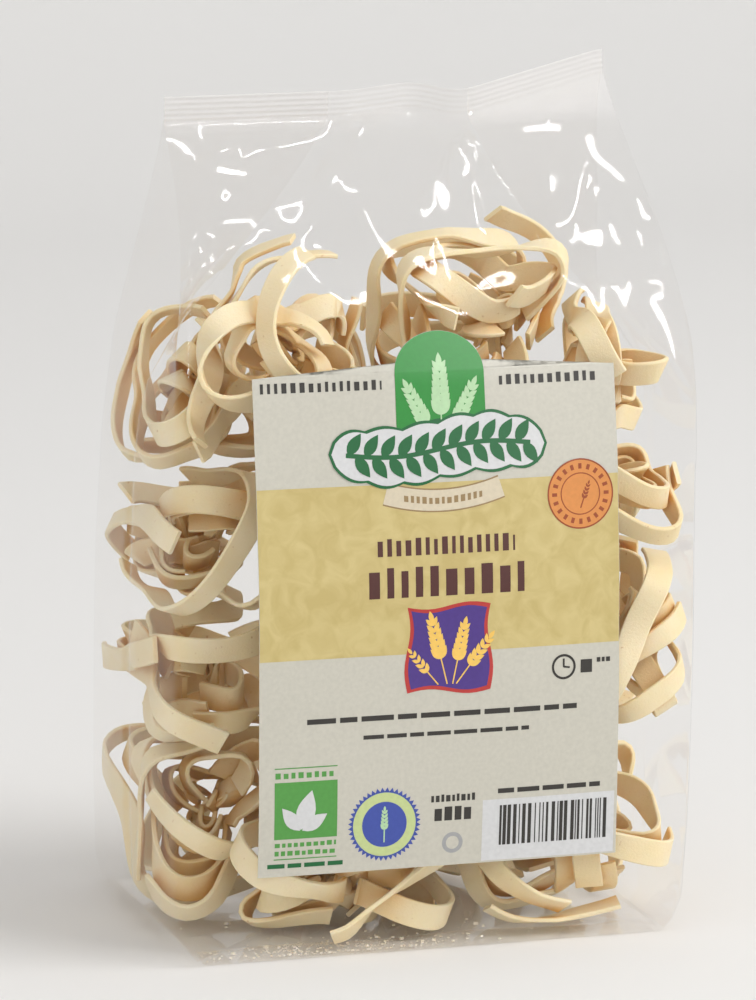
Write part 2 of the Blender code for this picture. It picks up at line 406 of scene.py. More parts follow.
def bundles_of(draw):
    """The strands of one nest, outermost first: loose ends, bundles of loops side by side, and a core."""
    swing = draw.uniform(0.0, TURN)
    bundles = []
    for number, (low, high, tilt, count) in enumerate(BUNDLES):
        shared = {
            "tilt": tilt * draw.uniform(0.8, 1.2),
            "swing": swing + number * 1.7 + draw.uniform(-0.4, 0.4),
            "precession": draw.uniform(-0.25, 0.25),
            "start": draw.uniform(0.0, TURN),
            "drift": draw.uniform(-0.12, 0.12),
        }
        places = np.linspace(low, high, count) + draw.uniform(-0.04, 0.04, count)
        bundles.append([dict(shared, latitude=place, length=draw.uniform(110.0, 190.0), sink=0.1, poke=0.0)
                        for place in draw.permutation(places)])
    # Two or three strands of one bundle, then some of another: neighbours lie parallel, bundles cross.
    looped = []
    while any(bundles):
        bundle = bundles[draw.integers(len(bundles))]
        for _ in range(draw.integers(2, 4)):
            if bundle:
                looped.append(bundle.pop())
    loose = [dict(latitude=draw.uniform(-0.6, 0.8), drift=0.0, tilt=draw.uniform(0.1, 0.9),
                  swing=draw.uniform(0.0, TURN), precession=0.0, start=draw.uniform(0.0, TURN),
                  length=draw.uniform(38.0, 85.0), sink=0.0, poke=draw.uniform(0.5, 3.5))
             for _ in range(LOOSE_ENDS)]
    core = [dict(latitude=draw.uniform(-0.5, 0.5), drift=draw.uniform(-0.3, 0.3), tilt=draw.uniform(0.0, 1.5),
                 swing=draw.uniform(0.0, TURN), precession=draw.uniform(-0.5, 0.5),
                 start=draw.uniform(0.0, TURN), length=draw.uniform(90.0, 150.0),
                 sink=draw.uniform(3.0, 11.0), poke=0.0)
            for _ in range(CORE_STRANDS)]
    return loose + looped + core


def rolled_edges(draw, strand, stations, base):
    """Heights of a ribbon's two edges, rolled so that its flat side faces the way it curves."""
    centres, across, normal = strand.placed()
    tangents = unit(np.gradient(centres, axis=0))
    bend = -smoothed(np.gradient(tangents, axis=0), SMOOTH_REACH)
    roll = np.arctan2(np.sum(bend * across, axis=1), np.sum(bend * normal, axis=1))
    roll = smoothed(np.clip(roll * 0.85, -0.8, 0.8), SMOOTH_REACH) + wander(draw, stations, 0.14, 70.0)
    lift = 0.5 * strand.width * np.sin(roll)
    return base + lift - np.abs(lift), base - lift - np.abs(lift)


def press_under(strand, ceiling, wanted_left, wanted_right):
    """Lowers a ribbon's edges from where they are wanted until it lies under all that covers it."""
    shares = np.linspace(-0.5, 0.5, 7)
    part = (shares + 0.5)[None, :]
    leverage = 1.0 / ((1.0 - part) ** 2 + part ** 2)
    lack_left = np.zeros_like(wanted_left)
    lack_right = np.zeros_like(wanted_left)
    for _ in range(PRESS_ROUNDS):
        lowered = ceiling.copy()
        strand.left = wanted_left - spread(lack_left, PRESS_REACH)
        strand.right = wanted_right - spread(lack_right, PRESS_REACH)
        for start in range(0, len(wanted_left), CHUNK):
            stop = min(start + CHUNK, len(wanted_left))
            # What the strand has wound so far covers the rest of it.
            if start >= 2 * CHUNK:
                stamp(lowered, strand, start - 2 * CHUNK, start - CHUNK + 1)
            points = strand.lanes(shares)[start:stop]
            radius = np.linalg.norm(points, axis=2)
            allowed = lowered[nearest(points / radius[:, :, None])] - strand.thickness * 0.55
            over = np.where(radius - allowed > 0.02, radius - allowed, 0.0)
            pressed = over.max(axis=1) > 0.0
            for wanted, edge, lack, weight in ((wanted_left, strand.left, lack_left, 1.0 - part),
                                               (wanted_right, strand.right, lack_right, part)):
                needed = (wanted - edge)[start:stop] + np.max(over * weight * leverage, axis=1)
                before = lack[start:stop]
                lack[start:stop] = np.where(pressed, np.maximum(before, needed), before)
    strand.left = wanted_left - spread(lack_left, PRESS_REACH)
    strand.right = wanted_right - spread(lack_right, PRESS_REACH)


def wind_nest(index):
    """All the strands of one nest, in mm about its middle."""
    _, _, _, axis, seed = NESTS[index]
    draw = np.random.default_rng(seed * 101)
    rows = nest_frame(axis)
    envelope, ceiling = nest_envelope(index)
    strands = []
    for layer, bundle in enumerate(bundles_of(draw)):
        directions, stations = strand_path(draw, bundle, rows, envelope)
        width = draw.uniform(*RIBBON_WIDTH)
        thickness = draw.uniform(*RIBBON_THICKNESS)
        # Later strands lie deeper, and a loose end pokes out where it starts and stops.
        sink = bundle["sink"] + 0.1 * layer + np.abs(wander(draw, stations, 1.1, 90.0))
        sink = sink - bundle["poke"] * np.abs(2.0 * stations / stations[-1] - 1.0) ** 3
        base = smoothed(envelope[nearest(directions)], SMOOTH_REACH) - sink - 0.5 * thickness
        strand = Strand(directions, base, base, width, thickness)
        press_under(strand, ceiling, *rolled_edges(draw, strand, stations, base))
        for kept in long_stretches(strand):
            stamp(ceiling, kept, 0, len(kept.left))
            strands.append(kept)
    return strands


# ---------------------------------------------------------------------------------------------------------
# Film bag
# ---------------------------------------------------------------------------------------------------------
# The top strip's wander, by share of the half width: how far back and how far up it goes.
SEAL_BACK = ((-1.0, 4.0), (-0.22, -2.0), (0.10, 4.0), (0.28, -5.0), (1.0, 12.0))
SEAL_RISE = ((-1.0, -1.8), (-0.22, -0.6), (0.12, 0.5), (0.24, -1.4), (1.0, 6.8))
SEAL_EASE = 0.035
SEAL_BEND_STARTS = 186.0
CRIMP_PITCH = 1.4
CRIMP_DEPTH = 0.3
FOOT_HEIGHTS = (0.25, 0.7, 1.3, 2.0, 3.0, 4.2, 5.6, 7.2, 9.0)
FRONT_STEPS = 84
SIDE_STEPS = 44
CORNER_STEPS = 4
BASE_ROWS = 12

# The film lies flat and smooth where the label is stuck on it.
FLAT_HALF_WIDTH = 52.0
FLAT_FOOT = 21.0
FLAT_TOP = 160.0
TAB_MIDDLE = 155.0

# Creases of the slack film near the top: (x, z) of both ends, height of the ridge, its half width.
FRONT_CREASES = (
    ((-61, 217), (-24, 172), 1.6, 5.0),
    ((-61, 214), (-52, 158), -1.4, 4.0),
    ((-14, 219), (-36, 178), 1.5, 5.0),
    ((-13, 219), (-8, 188), -1.2, 4.0),
    ((9, 219), (3, 185), 1.2, 3.5),
    ((15, 219), (42, 172), 2.0, 5.0),
    ((16, 219), (22, 182), -1.3, 3.5),
    ((60, 219), (34, 176), 1.6, 5.0),
    ((61, 216), (64, 160), -1.2, 4.0),
    ((40, 218), (60, 186), 1.0, 3.0),
    ((-40, 218), (-60, 190), 1.0, 3.0),
    ((-66, 178), (-48, 190), 0.9, 2.5),
    ((67, 172), (50, 182), 0.9, 2.5),
)


def eased(table, at, ease):
    """Value of a table with its corners rounded."""
    return sum(along(table, at + step * ease) for step in (-1.5, -0.5, 0.5, 1.5)) / 4.0


def smooth_step(t):
    """0 to 1 with flat ends, for t from 0 to 1."""
    t = np.clip(t, 0.0, 1.0)
    return t * t * (3.0 - 2.0 * t)


def bent(points):
    """Points of the straight bag moved to where the crooked top strip takes them."""
    x, y, z = points[..., 0], points[..., 1], points[..., 2]
    share = smooth_step((z - SEAL_BEND_STARTS) / (SEAL_BOTTOM - SEAL_BEND_STARTS))
    place = x / along(HALF_WIDTH, z)
    back = share * eased(SEAL_BACK, place, SEAL_EASE)
    back = back + CRIMP_DEPTH * np.sin(2.0 * math.pi * (z - SEAL_BOTTOM) / CRIMP_PITCH) * (z > SEAL_BOTTOM)
    rise = share * eased(SEAL_RISE, place, SEAL_EASE)
    push = along(RIGHT_PUSH, z) * share_of_push(y, along(HALF_DEPTH, z))
    x = x + push * np.clip(place, 0.0, 1.0) ** RIGHT_EDGE_POWER
    return np.stack([x, y + back, z + rise], axis=-1)


def waves(seed, u, v, length, count=6):
    """Smooth noise from -1 to 1 with features about the given length."""
    draw = np.random.default_rng(seed)
    total = 0.0
    for _ in range(count):
        angle = draw.uniform(0.0, math.pi)
        pitch = length * draw.uniform(0.7, 1.6)
        total = total + np.sin((u * math.cos(angle) + v * math.sin(angle)) * 2.0 * math.pi / pitch
                               + draw.uniform(0.0, 6.28))
    return total / math.sqrt(count)


def folds(seed, u, v, length, count=7):
    """Sharp-ridged noise, as in crumpled film, from -1 to 1."""
    draw = np.random.default_rng(seed)
    total = 0.0
    for _ in range(count):
        angle = draw.uniform(0.0, math.pi)
        pitch = length * draw.uniform(0.7, 1.7)
        place = (u * math.cos(angle) + v * math.sin(angle)) / pitch + draw.uniform(0.0, 1.0)
        place = place + 0.25 * waves(seed + 5, u, v, length * 2.5, 3)
        total = total + 4.0 * np.abs(place - np.floor(place) - 0.5) - 1.0
    return total / math.sqrt(count)


def front_wave(x, z):
    """Gentle unevenness that the front film and the label share."""
    return 0.28 * waves(3, x, z, 75.0, 5)


def front_depth(x, z):
    """How far the front panel stands forward of the bag's middle plane."""
    flat = along(HALF_WIDTH, z) - along(CORNER_RADIUS, z)
    return (along(HALF_DEPTH, z) + along(FRONT_SWELL, z) * (1.0 - np.minimum(1.0, (x / flat) ** 2))
            + front_wave(x, z) * np.clip(z / 15.0, 0.0, 1.0))


def crease_heights(x, z, creases):
    """Ridges along straight lines that fade towards their lower ends."""
    total = np.zeros_like(x)
    for (x0, z0), (x1, z1), height, width in creases:
        run = np.hypot(x1 - x0, z1 - z0)
        part = ((x - x0) * (x1 - x0) + (z - z0) * (z1 - z0)) / run ** 2
        off = np.abs((x - x0) * (z1 - z0) - (z - z0) * (x1 - x0)) / run
        fade = np.clip(1.15 - part, 0.0, 1.0) * np.clip((part + 0.1) * 6.0, 0.0, 1.0)
        wide = width * (0.5 + 0.8 * np.clip(part, 0.0, 1.0))
        total += height * np.maximum(0.0, 1.0 - off / wide) ** 1.4 * fade
    return total


# Unevenness of the panels: kind, seed step, length of its features, size on the body, and more near the top.
PANEL_NOISE = ((waves, 2, 42.0, 0.15, 0.80), (folds, 0, 30.0, 0.10, 0.55), (folds, 1, 11.0, 0.03, 0.10))


def film_rings(heights):
    """Points of the film round the bag at each height, with how far each swells or creases outwards."""
    z = np.asarray(heights)[:, None]
    half_width = along(HALF_WIDTH, z)
    half_depth = along(HALF_DEPTH, z)
    radius = along(CORNER_RADIUS, z)
    flat_x = half_width - radius
    flat_y = half_depth - radius
    top = smooth_step((z - 150.0) / 30.0) * (1.0 - smooth_step((z - 212.0) / 8.0))
    low = smooth_step((z - 1.0) / 10.0) * (1.0 - smooth_step((z - 214.0) / 5.0))
    columns = []
    shifts = []

    def panel_noise(u, seed):
        return sum(kind(seed + step, u, z + 0 * u, length) * (size + more * top)
                   for kind, step, length, size, more in PANEL_NOISE) * low

    share = np.linspace(-1.0, 1.0, FRONT_STEPS + 1)[None, :]
    x = flat_x * share
    columns.append(np.stack([x, -front_depth(x, z), z + 0 * x], axis=-1))
    off_label = np.maximum(np.abs(x) - FLAT_HALF_WIDTH, np.maximum(z - FLAT_TOP, FLAT_FOOT - z))
    off_tab = np.hypot(x, np.maximum(z - TAB_MIDDLE, 0.0)) - 15.0
    front_mask = np.minimum(smooth_step(off_label / 8.0), np.where(z > 150.0, smooth_step(off_tab / 6.0), 1.0))
    crease = crease_heights(x, z + 0 * x, FRONT_CREASES) * (1.0 - smooth_step((z - 214.0) / 5.0))
    shifts.append((panel_noise(x, 31) + crease) * front_mask)

    def corner(centre_x, centre_y, start):
        angle = np.radians(start + 90.0 * np.arange(1, CORNER_STEPS)[None, :] / CORNER_STEPS)
        columns.append(np.stack([centre_x + radius * np.cos(angle), centre_y + radius * np.sin(angle),
                                 z + 0 * angle], axis=-1))
        shifts.append(np.zeros((len(heights), CORNER_STEPS - 1)))

    def side(sign, seed):
        share = np.linspace(-1.0, 1.0, SIDE_STEPS + 1)[None, :]
        out = along(SIDE_SWELL, z) * (1.0 - share ** 2) - along(FILM_PLEAT, z) * (1.0 - np.abs(share))
        crease = -0.9 * np.maximum(0.0, 1.0 - np.abs(share) * 14.0) * (1.0 - top) * low
        x = sign * (half_width + out)
        y = sign * flat_y * share
        columns.append(np.stack([x, y, z + 0 * x], axis=-1))
        edge = np.clip((1.0 - np.abs(share)) * 5.0, 0.0, 1.0)
        swell = np.abs(panel_noise(y, seed)) * 0.5 * edge * (1.0 - 0.7 * top)
        shifts.append(swell + crease)

    corner(flat_x, -flat_y, 270.0)
    side(1.0, 41)
    corner(flat_x, flat_y, 0.0)
    x = flat_x * -share
    columns.append(np.stack([x, half_depth + along(BACK_SWELL, z) * (1.0 - share ** 2), z + 0 * x], axis=-1))
    shifts.append(panel_noise(x, 51) + 0.8 * crease_heights(-x, z + 0 * x, FRONT_CREASES) * low)
    corner(-flat_x, flat_y, 90.0)
    side(-1.0, 61)
    corner(-flat_x, -flat_y, 180.0)
    return np.concatenate(columns, axis=1), np.concatenate(shifts, axis=1)


def make_film(material):
    """The bag's film: rings joined one over another, creased and bent at the top, and a base panel."""
    heights = list(FOOT_HEIGHTS)
    heights += list(np.arange(11.0, SEAL_BOTTOM - 0.5, 1.9))
    heights += list(np.arange(SEAL_BOTTOM, SEAL_TOP + 0.01, CRIMP_PITCH / 4.0))
    points, shift = film_rings(heights)
    following = np.roll(points, -1, axis=1) - np.roll(points, 1, axis=1)
    upward = np.gradient(points, axis=0)
    outward = unit(np.cross(following, upward))
    points = bent(points + outward * shift[..., None])
    rings, count = points.shape[:2]
    vertices = list(points.reshape(-1, 3))
    faces = []
    for ring in range(rings - 1):
        low = ring * count
        for point in range(count):
            after = (point + 1) % count
            faces.append((low + point, low + after, low + count + after, low + count + point))
    # Base panel: strips from the front's foot to the back's.
    back_left = FRONT_STEPS + 2 * CORNER_STEPS + SIDE_STEPS + FRONT_STEPS
    before = list(range(FRONT_STEPS + 1))
    end = [back_left - step for step in range(FRONT_STEPS + 1)]
    for row in range(1, BASE_ROWS + 1):
        if row == BASE_ROWS:
            here = end
        else:
            part = row / BASE_ROWS
            start = len(vertices)
            for low, high in zip(range(FRONT_STEPS + 1), end):
                vertices.append(points[0, low] * (1.0 - part) + points[0, high] * part)
            here = list(range(start, start + FRONT_STEPS + 1))
        for step in range(FRONT_STEPS):
            faces.append((before[step], here[step], here[step + 1], before[step + 1]))
        before = here
    film = new_piece("film", vertices, faces, material, 50.0)
    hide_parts("bag")
    return film


def film_material():
    """Clear film: see-through face on, glossy at a glance, and milky in the welded strip."""
    material, _ = new_material("clear film")
    material.node_tree.nodes.clear()
    clear = add_node(material, "BsdfTransparent", {"Color": (0.988, 0.985, 0.982, 1.0)})
    gloss = add_node(material, "BsdfGlossy", {"Color": (1.0, 1.0, 1.0, 1.0), "Roughness": 0.06})
    haze = add_node(material, "BsdfDiffuse", {"Color": (0.88, 0.865, 0.86, 1.0)})
    # Reflection of a thin clear sheet, the same from both of its sides: weak face on, strong at a glance.
    facing = add_node(material, "LayerWeight", {"Blend": 0.5})
    steep = add_node(material, "Math", {0: facing.outputs["Facing"], 1: 4.5}, operation="POWER")
    mirror = add_node(material, "Math", {0: steep.outputs[0], 1: 0.70, 2: 0.010},
                      operation="MULTIPLY_ADD", use_clamp=True)
    # The welded strip, just over the body's top, is milkier than the rest.
    place = add_node(material, "NewGeometry", {})
    split = add_node(material, "SeparateXYZ", {0: place.outputs["Position"]})
    milky = add_node(material, "MapRange", {"Value": split.outputs["Z"], "From Min": 0.214, "From Max": 0.219,
                                            "To Min": 0.004, "To Max": 0.13})
    body = add_node(material, "MixShader", {0: milky.outputs[0], 1: clear.outputs[0], 2: haze.outputs[0]})
    whole = add_node(material, "MixShader", {0: mirror.outputs[0], 1: body.outputs[0], 2: gloss.outputs[0]})
    add_node(material, "OutputMaterial", {"Surface": whole.outputs[0]})
    return material


# ---------------------------------------------------------------------------------------------------------
# Label. Its print is blank fields of colour and simple shapes. Places on it are (across, up) in mm from the
# middle of its foot.
# ---------------------------------------------------------------------------------------------------------
LABEL_HALF_WIDTH = 50.0
LABEL_FOOT = 24.0
LABEL_HEIGHT = 131.5
LABEL_STAND_OFF = 0.32
LABEL_THICKNESS = 0.14
PRINT_STEP = 0.035
TAB_CENTRE = 1.0
TAB_HALF_WIDTH = 12.4
TAB_HEIGHT = 10.4
CUT_EVERY = 4.0
GRAIN_SPREAD = 34.0
INK_ROUGHNESS = 0.42


def label_point(across, up, lift):
    """A point over the label's face, in mm."""
    z = up + LABEL_FOOT
    return np.stack([across, -(front_depth(across, z) + LABEL_STAND_OFF + lift), z], axis=-1)


def circle(centre_x, centre_y, radius, steps=40, squash=1.0, start=0.0, stop=360.0):
    """Points on a circle or on an arc of it, between angles in degrees."""
    angles = np.radians(np.linspace(start, stop, steps, endpoint=(stop - start) < 360.0))
    return [(centre_x + radius * math.cos(a), centre_y + radius * squash * math.sin(a)) for a in angles]


def box(left, low, right, high):
    """An upright rectangle."""
    return [(left, low), (right, low), (right, high), (left, high)]


def turned(points, angle, centre=(0.0, 0.0)):
    """An outline turned by an angle in degrees about a place."""
    c, s = math.cos(math.radians(angle)), math.sin(math.radians(angle))
    return [(centre[0] + (x - centre[0]) * c - (y - centre[1]) * s,
             centre[1] + (x - centre[0]) * s + (y - centre[1]) * c) for x, y in points]


def leaf(x, y, length, width, angle, steps=8):
    """A pointed oval from its stalk end."""
    def edge(share, side):
        return x + length * share, y + side * 0.5 * width * math.sin(math.pi * share ** 0.85)

    upper = [edge(share, 1.0) for share in np.linspace(0, 1, steps)]
    lower = [edge(share, -1.0) for share in np.linspace(1, 0, steps)]
    return turned(lower[1:-1] + upper, angle, (x, y))


def strip(points, width):
    """The outline of a line of even width through points."""
    points = np.array(points, dtype=float)
    along_line = unit(np.gradient(points, axis=0))
    beside = np.stack([-along_line[:, 1], along_line[:, 0]], axis=1) * width / 2.0
    return [tuple(p) for p in points - beside] + [tuple(p) for p in (points + beside)[::-1]]


def ring_quads(centre_x, centre_y, outer, inner, steps=48):
    """A ring as a row of quads, which stay flat and simple."""
    quads = []
    for step in range(steps):
        a, b = (2.0 * math.pi * (step + k) / steps for k in (0, 1))
        quads.append([
            (centre_x + inner * math.cos(a), centre_y + inner * math.sin(a)),
            (centre_x + outer * math.cos(a), centre_y + outer * math.sin(a)),
            (centre_x + outer * math.cos(b), centre_y + outer * math.sin(b)),
            (centre_x + inner * math.cos(b), centre_y + inner * math.sin(b)),
        ])
    return quads


def cut_across(form, axis, places):
    """Cuts a flat mesh by planes square to an axis, so that it can follow the bag's curve."""
    normal = [0.0, 0.0, 0.0]
    normal[axis] = 1.0
    for place_at in places:
        place = [0.0, 0.0, 0.0]
        place[axis] = place_at
        geometry = list(form.verts) + list(form.edges) + list(form.faces)
        bmesh.ops.bisect_plane(form, geom=geometry, dist=1e-5, plane_co=place, plane_no=normal)


def print_shapes(name, outlines, level, material, step=0.0):
    """One piece of print: outlines laid on the label, each a step over the last, cut to follow its curve."""
    form = bmesh.new()
    for number, outline in enumerate(outlines):
        face = form.faces.new([form.verts.new((x, y, number * step)) for x, y in outline])
        face.normal_update()
        if face.normal.z < 0.0:
            face.normal_flip()
    bmesh.ops.triangulate(form, faces=[face for face in form.faces if len(face.verts) > 4])
    spans = [[vertex.co[axis] for vertex in form.verts] for axis in (0, 1)]
    for axis, span in enumerate(spans):
        first = math.ceil(min(span) / CUT_EVERY)
        last = math.floor(max(span) / CUT_EVERY)
        cut_across(form, axis, [number * CUT_EVERY for number in range(first, last + 1)])
    form.verts.ensure_lookup_table()
    flat = np.array([vertex.co[:] for vertex in form.verts])
    lift = LABEL_THICKNESS + PRINT_STEP * (level + flat[:, 2])
    face_points = label_point(flat[:, 0], flat[:, 1], lift)
    faces = [[vertex.index for vertex in face.verts] for face in form.faces]
    form.free()
    piece = new_piece(name, face_points, faces, material, 60.0)
    return piece


def label_outline():
    """The label's edge with its arched tab."""
    points = [(-LABEL_HALF_WIDTH, 0.0), (LABEL_HALF_WIDTH, 0.0), (LABEL_HALF_WIDTH, LABEL_HEIGHT)]
    for step in range(25):
        angle = math.pi * step / 24
        points.append((TAB_CENTRE + TAB_HALF_WIDTH * math.cos(angle),
                       LABEL_HEIGHT + TAB_HEIGHT * math.sin(angle)))
    points.append((-LABEL_HALF_WIDTH, LABEL_HEIGHT))
    return points


def make_label_paper(material):
    """The paper as a thin plate: a cut sheet, a second one behind it, and a rim between them."""
    form = bmesh.new()
    form.faces.new([form.verts.new((x, y, 0.0)) for x, y in label_outline()])
    bmesh.ops.triangulate(form, faces=list(form.faces))
    for axis, low, high in ((0, -LABEL_HALF_WIDTH, LABEL_HALF_WIDTH), (1, 0.0, LABEL_HEIGHT + TAB_HEIGHT)):
        cut_across(form, axis, np.arange(low + CUT_EVERY, high, CUT_EVERY))
    form.verts.ensure_lookup_table()
    flat = np.array([vertex.co[:] for vertex in form.verts])
    count = len(flat)
    vertices = np.concatenate([label_point(flat[:, 0], flat[:, 1], LABEL_THICKNESS),
                               label_point(flat[:, 0], flat[:, 1], 0.0)])
    faces = []
    for face in form.faces:
        ids = [vertex.index for vertex in face.verts]
        faces.append(ids)
        faces.append([count + k for k in reversed(ids)])
    for edge in form.edges:
        if len(edge.link_faces) == 1:
            loop = edge.link_loops[0]
            a, b = loop.vert.index, loop.link_loop_next.vert.index
            faces.append([b, a, count + a, count + b])
    form.free()
    paper = new_piece("label_paper", vertices, faces, material, 40.0)
    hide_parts("label")
    return paper


def blocks(draw, left, right, low, high, widths, gap):
    """A row of upright blocks in place of a word or a line of words."""
    shapes = []
    x = left
    while x < right - 0.3:
        width = min(draw.uniform(*widths), right - x)
        short = 0.0 if draw.uniform() < 0.5 else (high - low) * 0.12
        shapes.append(box(x, low, x + width, high - short))
        x += width + gap
    return shapes


def text_bars(draw, left, right, low, high, words=(4.0, 9.0), gap=1.1):
    """Word-long bars in place of a line of small print."""
    shapes = []
    x = left
    while x < right - 1.0:
        width = min(draw.uniform(*words), right - x)
        shapes.append(box(x, low, x + width, high))
        x += width + gap
    return shapes


def grain_ear(x, y, height, angle, pairs=6):
    """A plain ear of grain: pairs of pointed ovals up a stalk, and one at its tip."""
    shapes = [strip([(x, y), (x, y + height * 0.45)], 0.35)]
    for pair in range(pairs):
        foot = y + height * (0.35 + 0.55 * pair / pairs)
        size = height * 0.20 * (1.0 - 0.35 * pair / pairs)
        for angle_out in (-GRAIN_SPREAD, GRAIN_SPREAD):
            shapes.append(leaf(x, foot, size, size * 0.46, 90.0 + angle_out))
    shapes.append(leaf(x, y + height * 0.86, height * 0.16, height * 0.07, 90.0))
    return [turned(shape, angle, (x, y)) for shape in shapes]


def mottled_print(name, dark, light, places, scale, detail, distortion=0.0):
    """Semi-gloss ink, mottled between two colours."""
    material, shader = new_material(name)
    mottle = add_noise(material, scale, detail, distortion=distortion)
    colour = add_ramp(material, mottle, places, dark, light)
    set_inputs(material, shader, {
        "Base Color": colour,
        "Roughness": INK_ROUGHNESS,
        "Specular IOR Level": 0.4,
    })
    return material


def plain_print(name, colour):
    """Ink of one colour, faintly mottled."""
    dark = [channel * 0.96 for channel in colour]
    light = [min(1.0, channel * 1.04) for channel in colour]
    return mottled_print(name, dark, light, (0.3, 0.7), 900.0, 2.0)


STRAW_DARK = (0.505, 0.395, 0.150)
STRAW_LIGHT = (0.585, 0.475, 0.205)
INKS = {
    "cream": (0.53, 0.508, 0.435),
    "white": (0.60, 0.60, 0.60),
    "black": (0.030, 0.026, 0.022),
    "maroon": (0.075, 0.020, 0.016),
    "leaf_green": (0.018, 0.235, 0.030),
    "deep_green": (0.006, 0.115, 0.030),
    "grass_green": (0.080, 0.290, 0.055),
    "orange": (0.64, 0.245, 0.060),
    "rust": (0.30, 0.060, 0.015),
    "purple": (0.065, 0.030, 0.210),
    "red": (0.45, 0.035, 0.030),
    "gold": (0.82, 0.52, 0.11),
    "blue": (0.045, 0.075, 0.34),
    "pale_green": (0.50, 0.58, 0.26),
    "grey": (0.34, 0.34, 0.34),
    "tan": (0.30, 0.20, 0.09),
    "pale_tan": (0.62, 0.54, 0.40),
    "pale_leaf": (0.42, 0.62, 0.36),
}


def garland_line(x):
    """Height of the garland's stem, a slow wave that climbs to the right."""
    return 111.6 + 1.1 * math.sin(x / 7.5) + 0.035 * x


def cloud(half_length, half_height, lobes=6):
    """The scalloped outline round the garland."""
    points = []
    for side in (1.0, -1.0):
        for step in range(8 * lobes + 1):
            part = -1.0 + 2.0 * step / (8 * lobes)
            x = side * half_length * part
            rounded = (1.0 - abs(part) ** 5) ** 0.5
            bumps = 0.86 + 0.14 * abs(math.sin(0.5 * math.pi * lobes * (part + 1.0)))
            points.append((x, garland_line(x) - side * half_height * rounded * bumps))
    return points


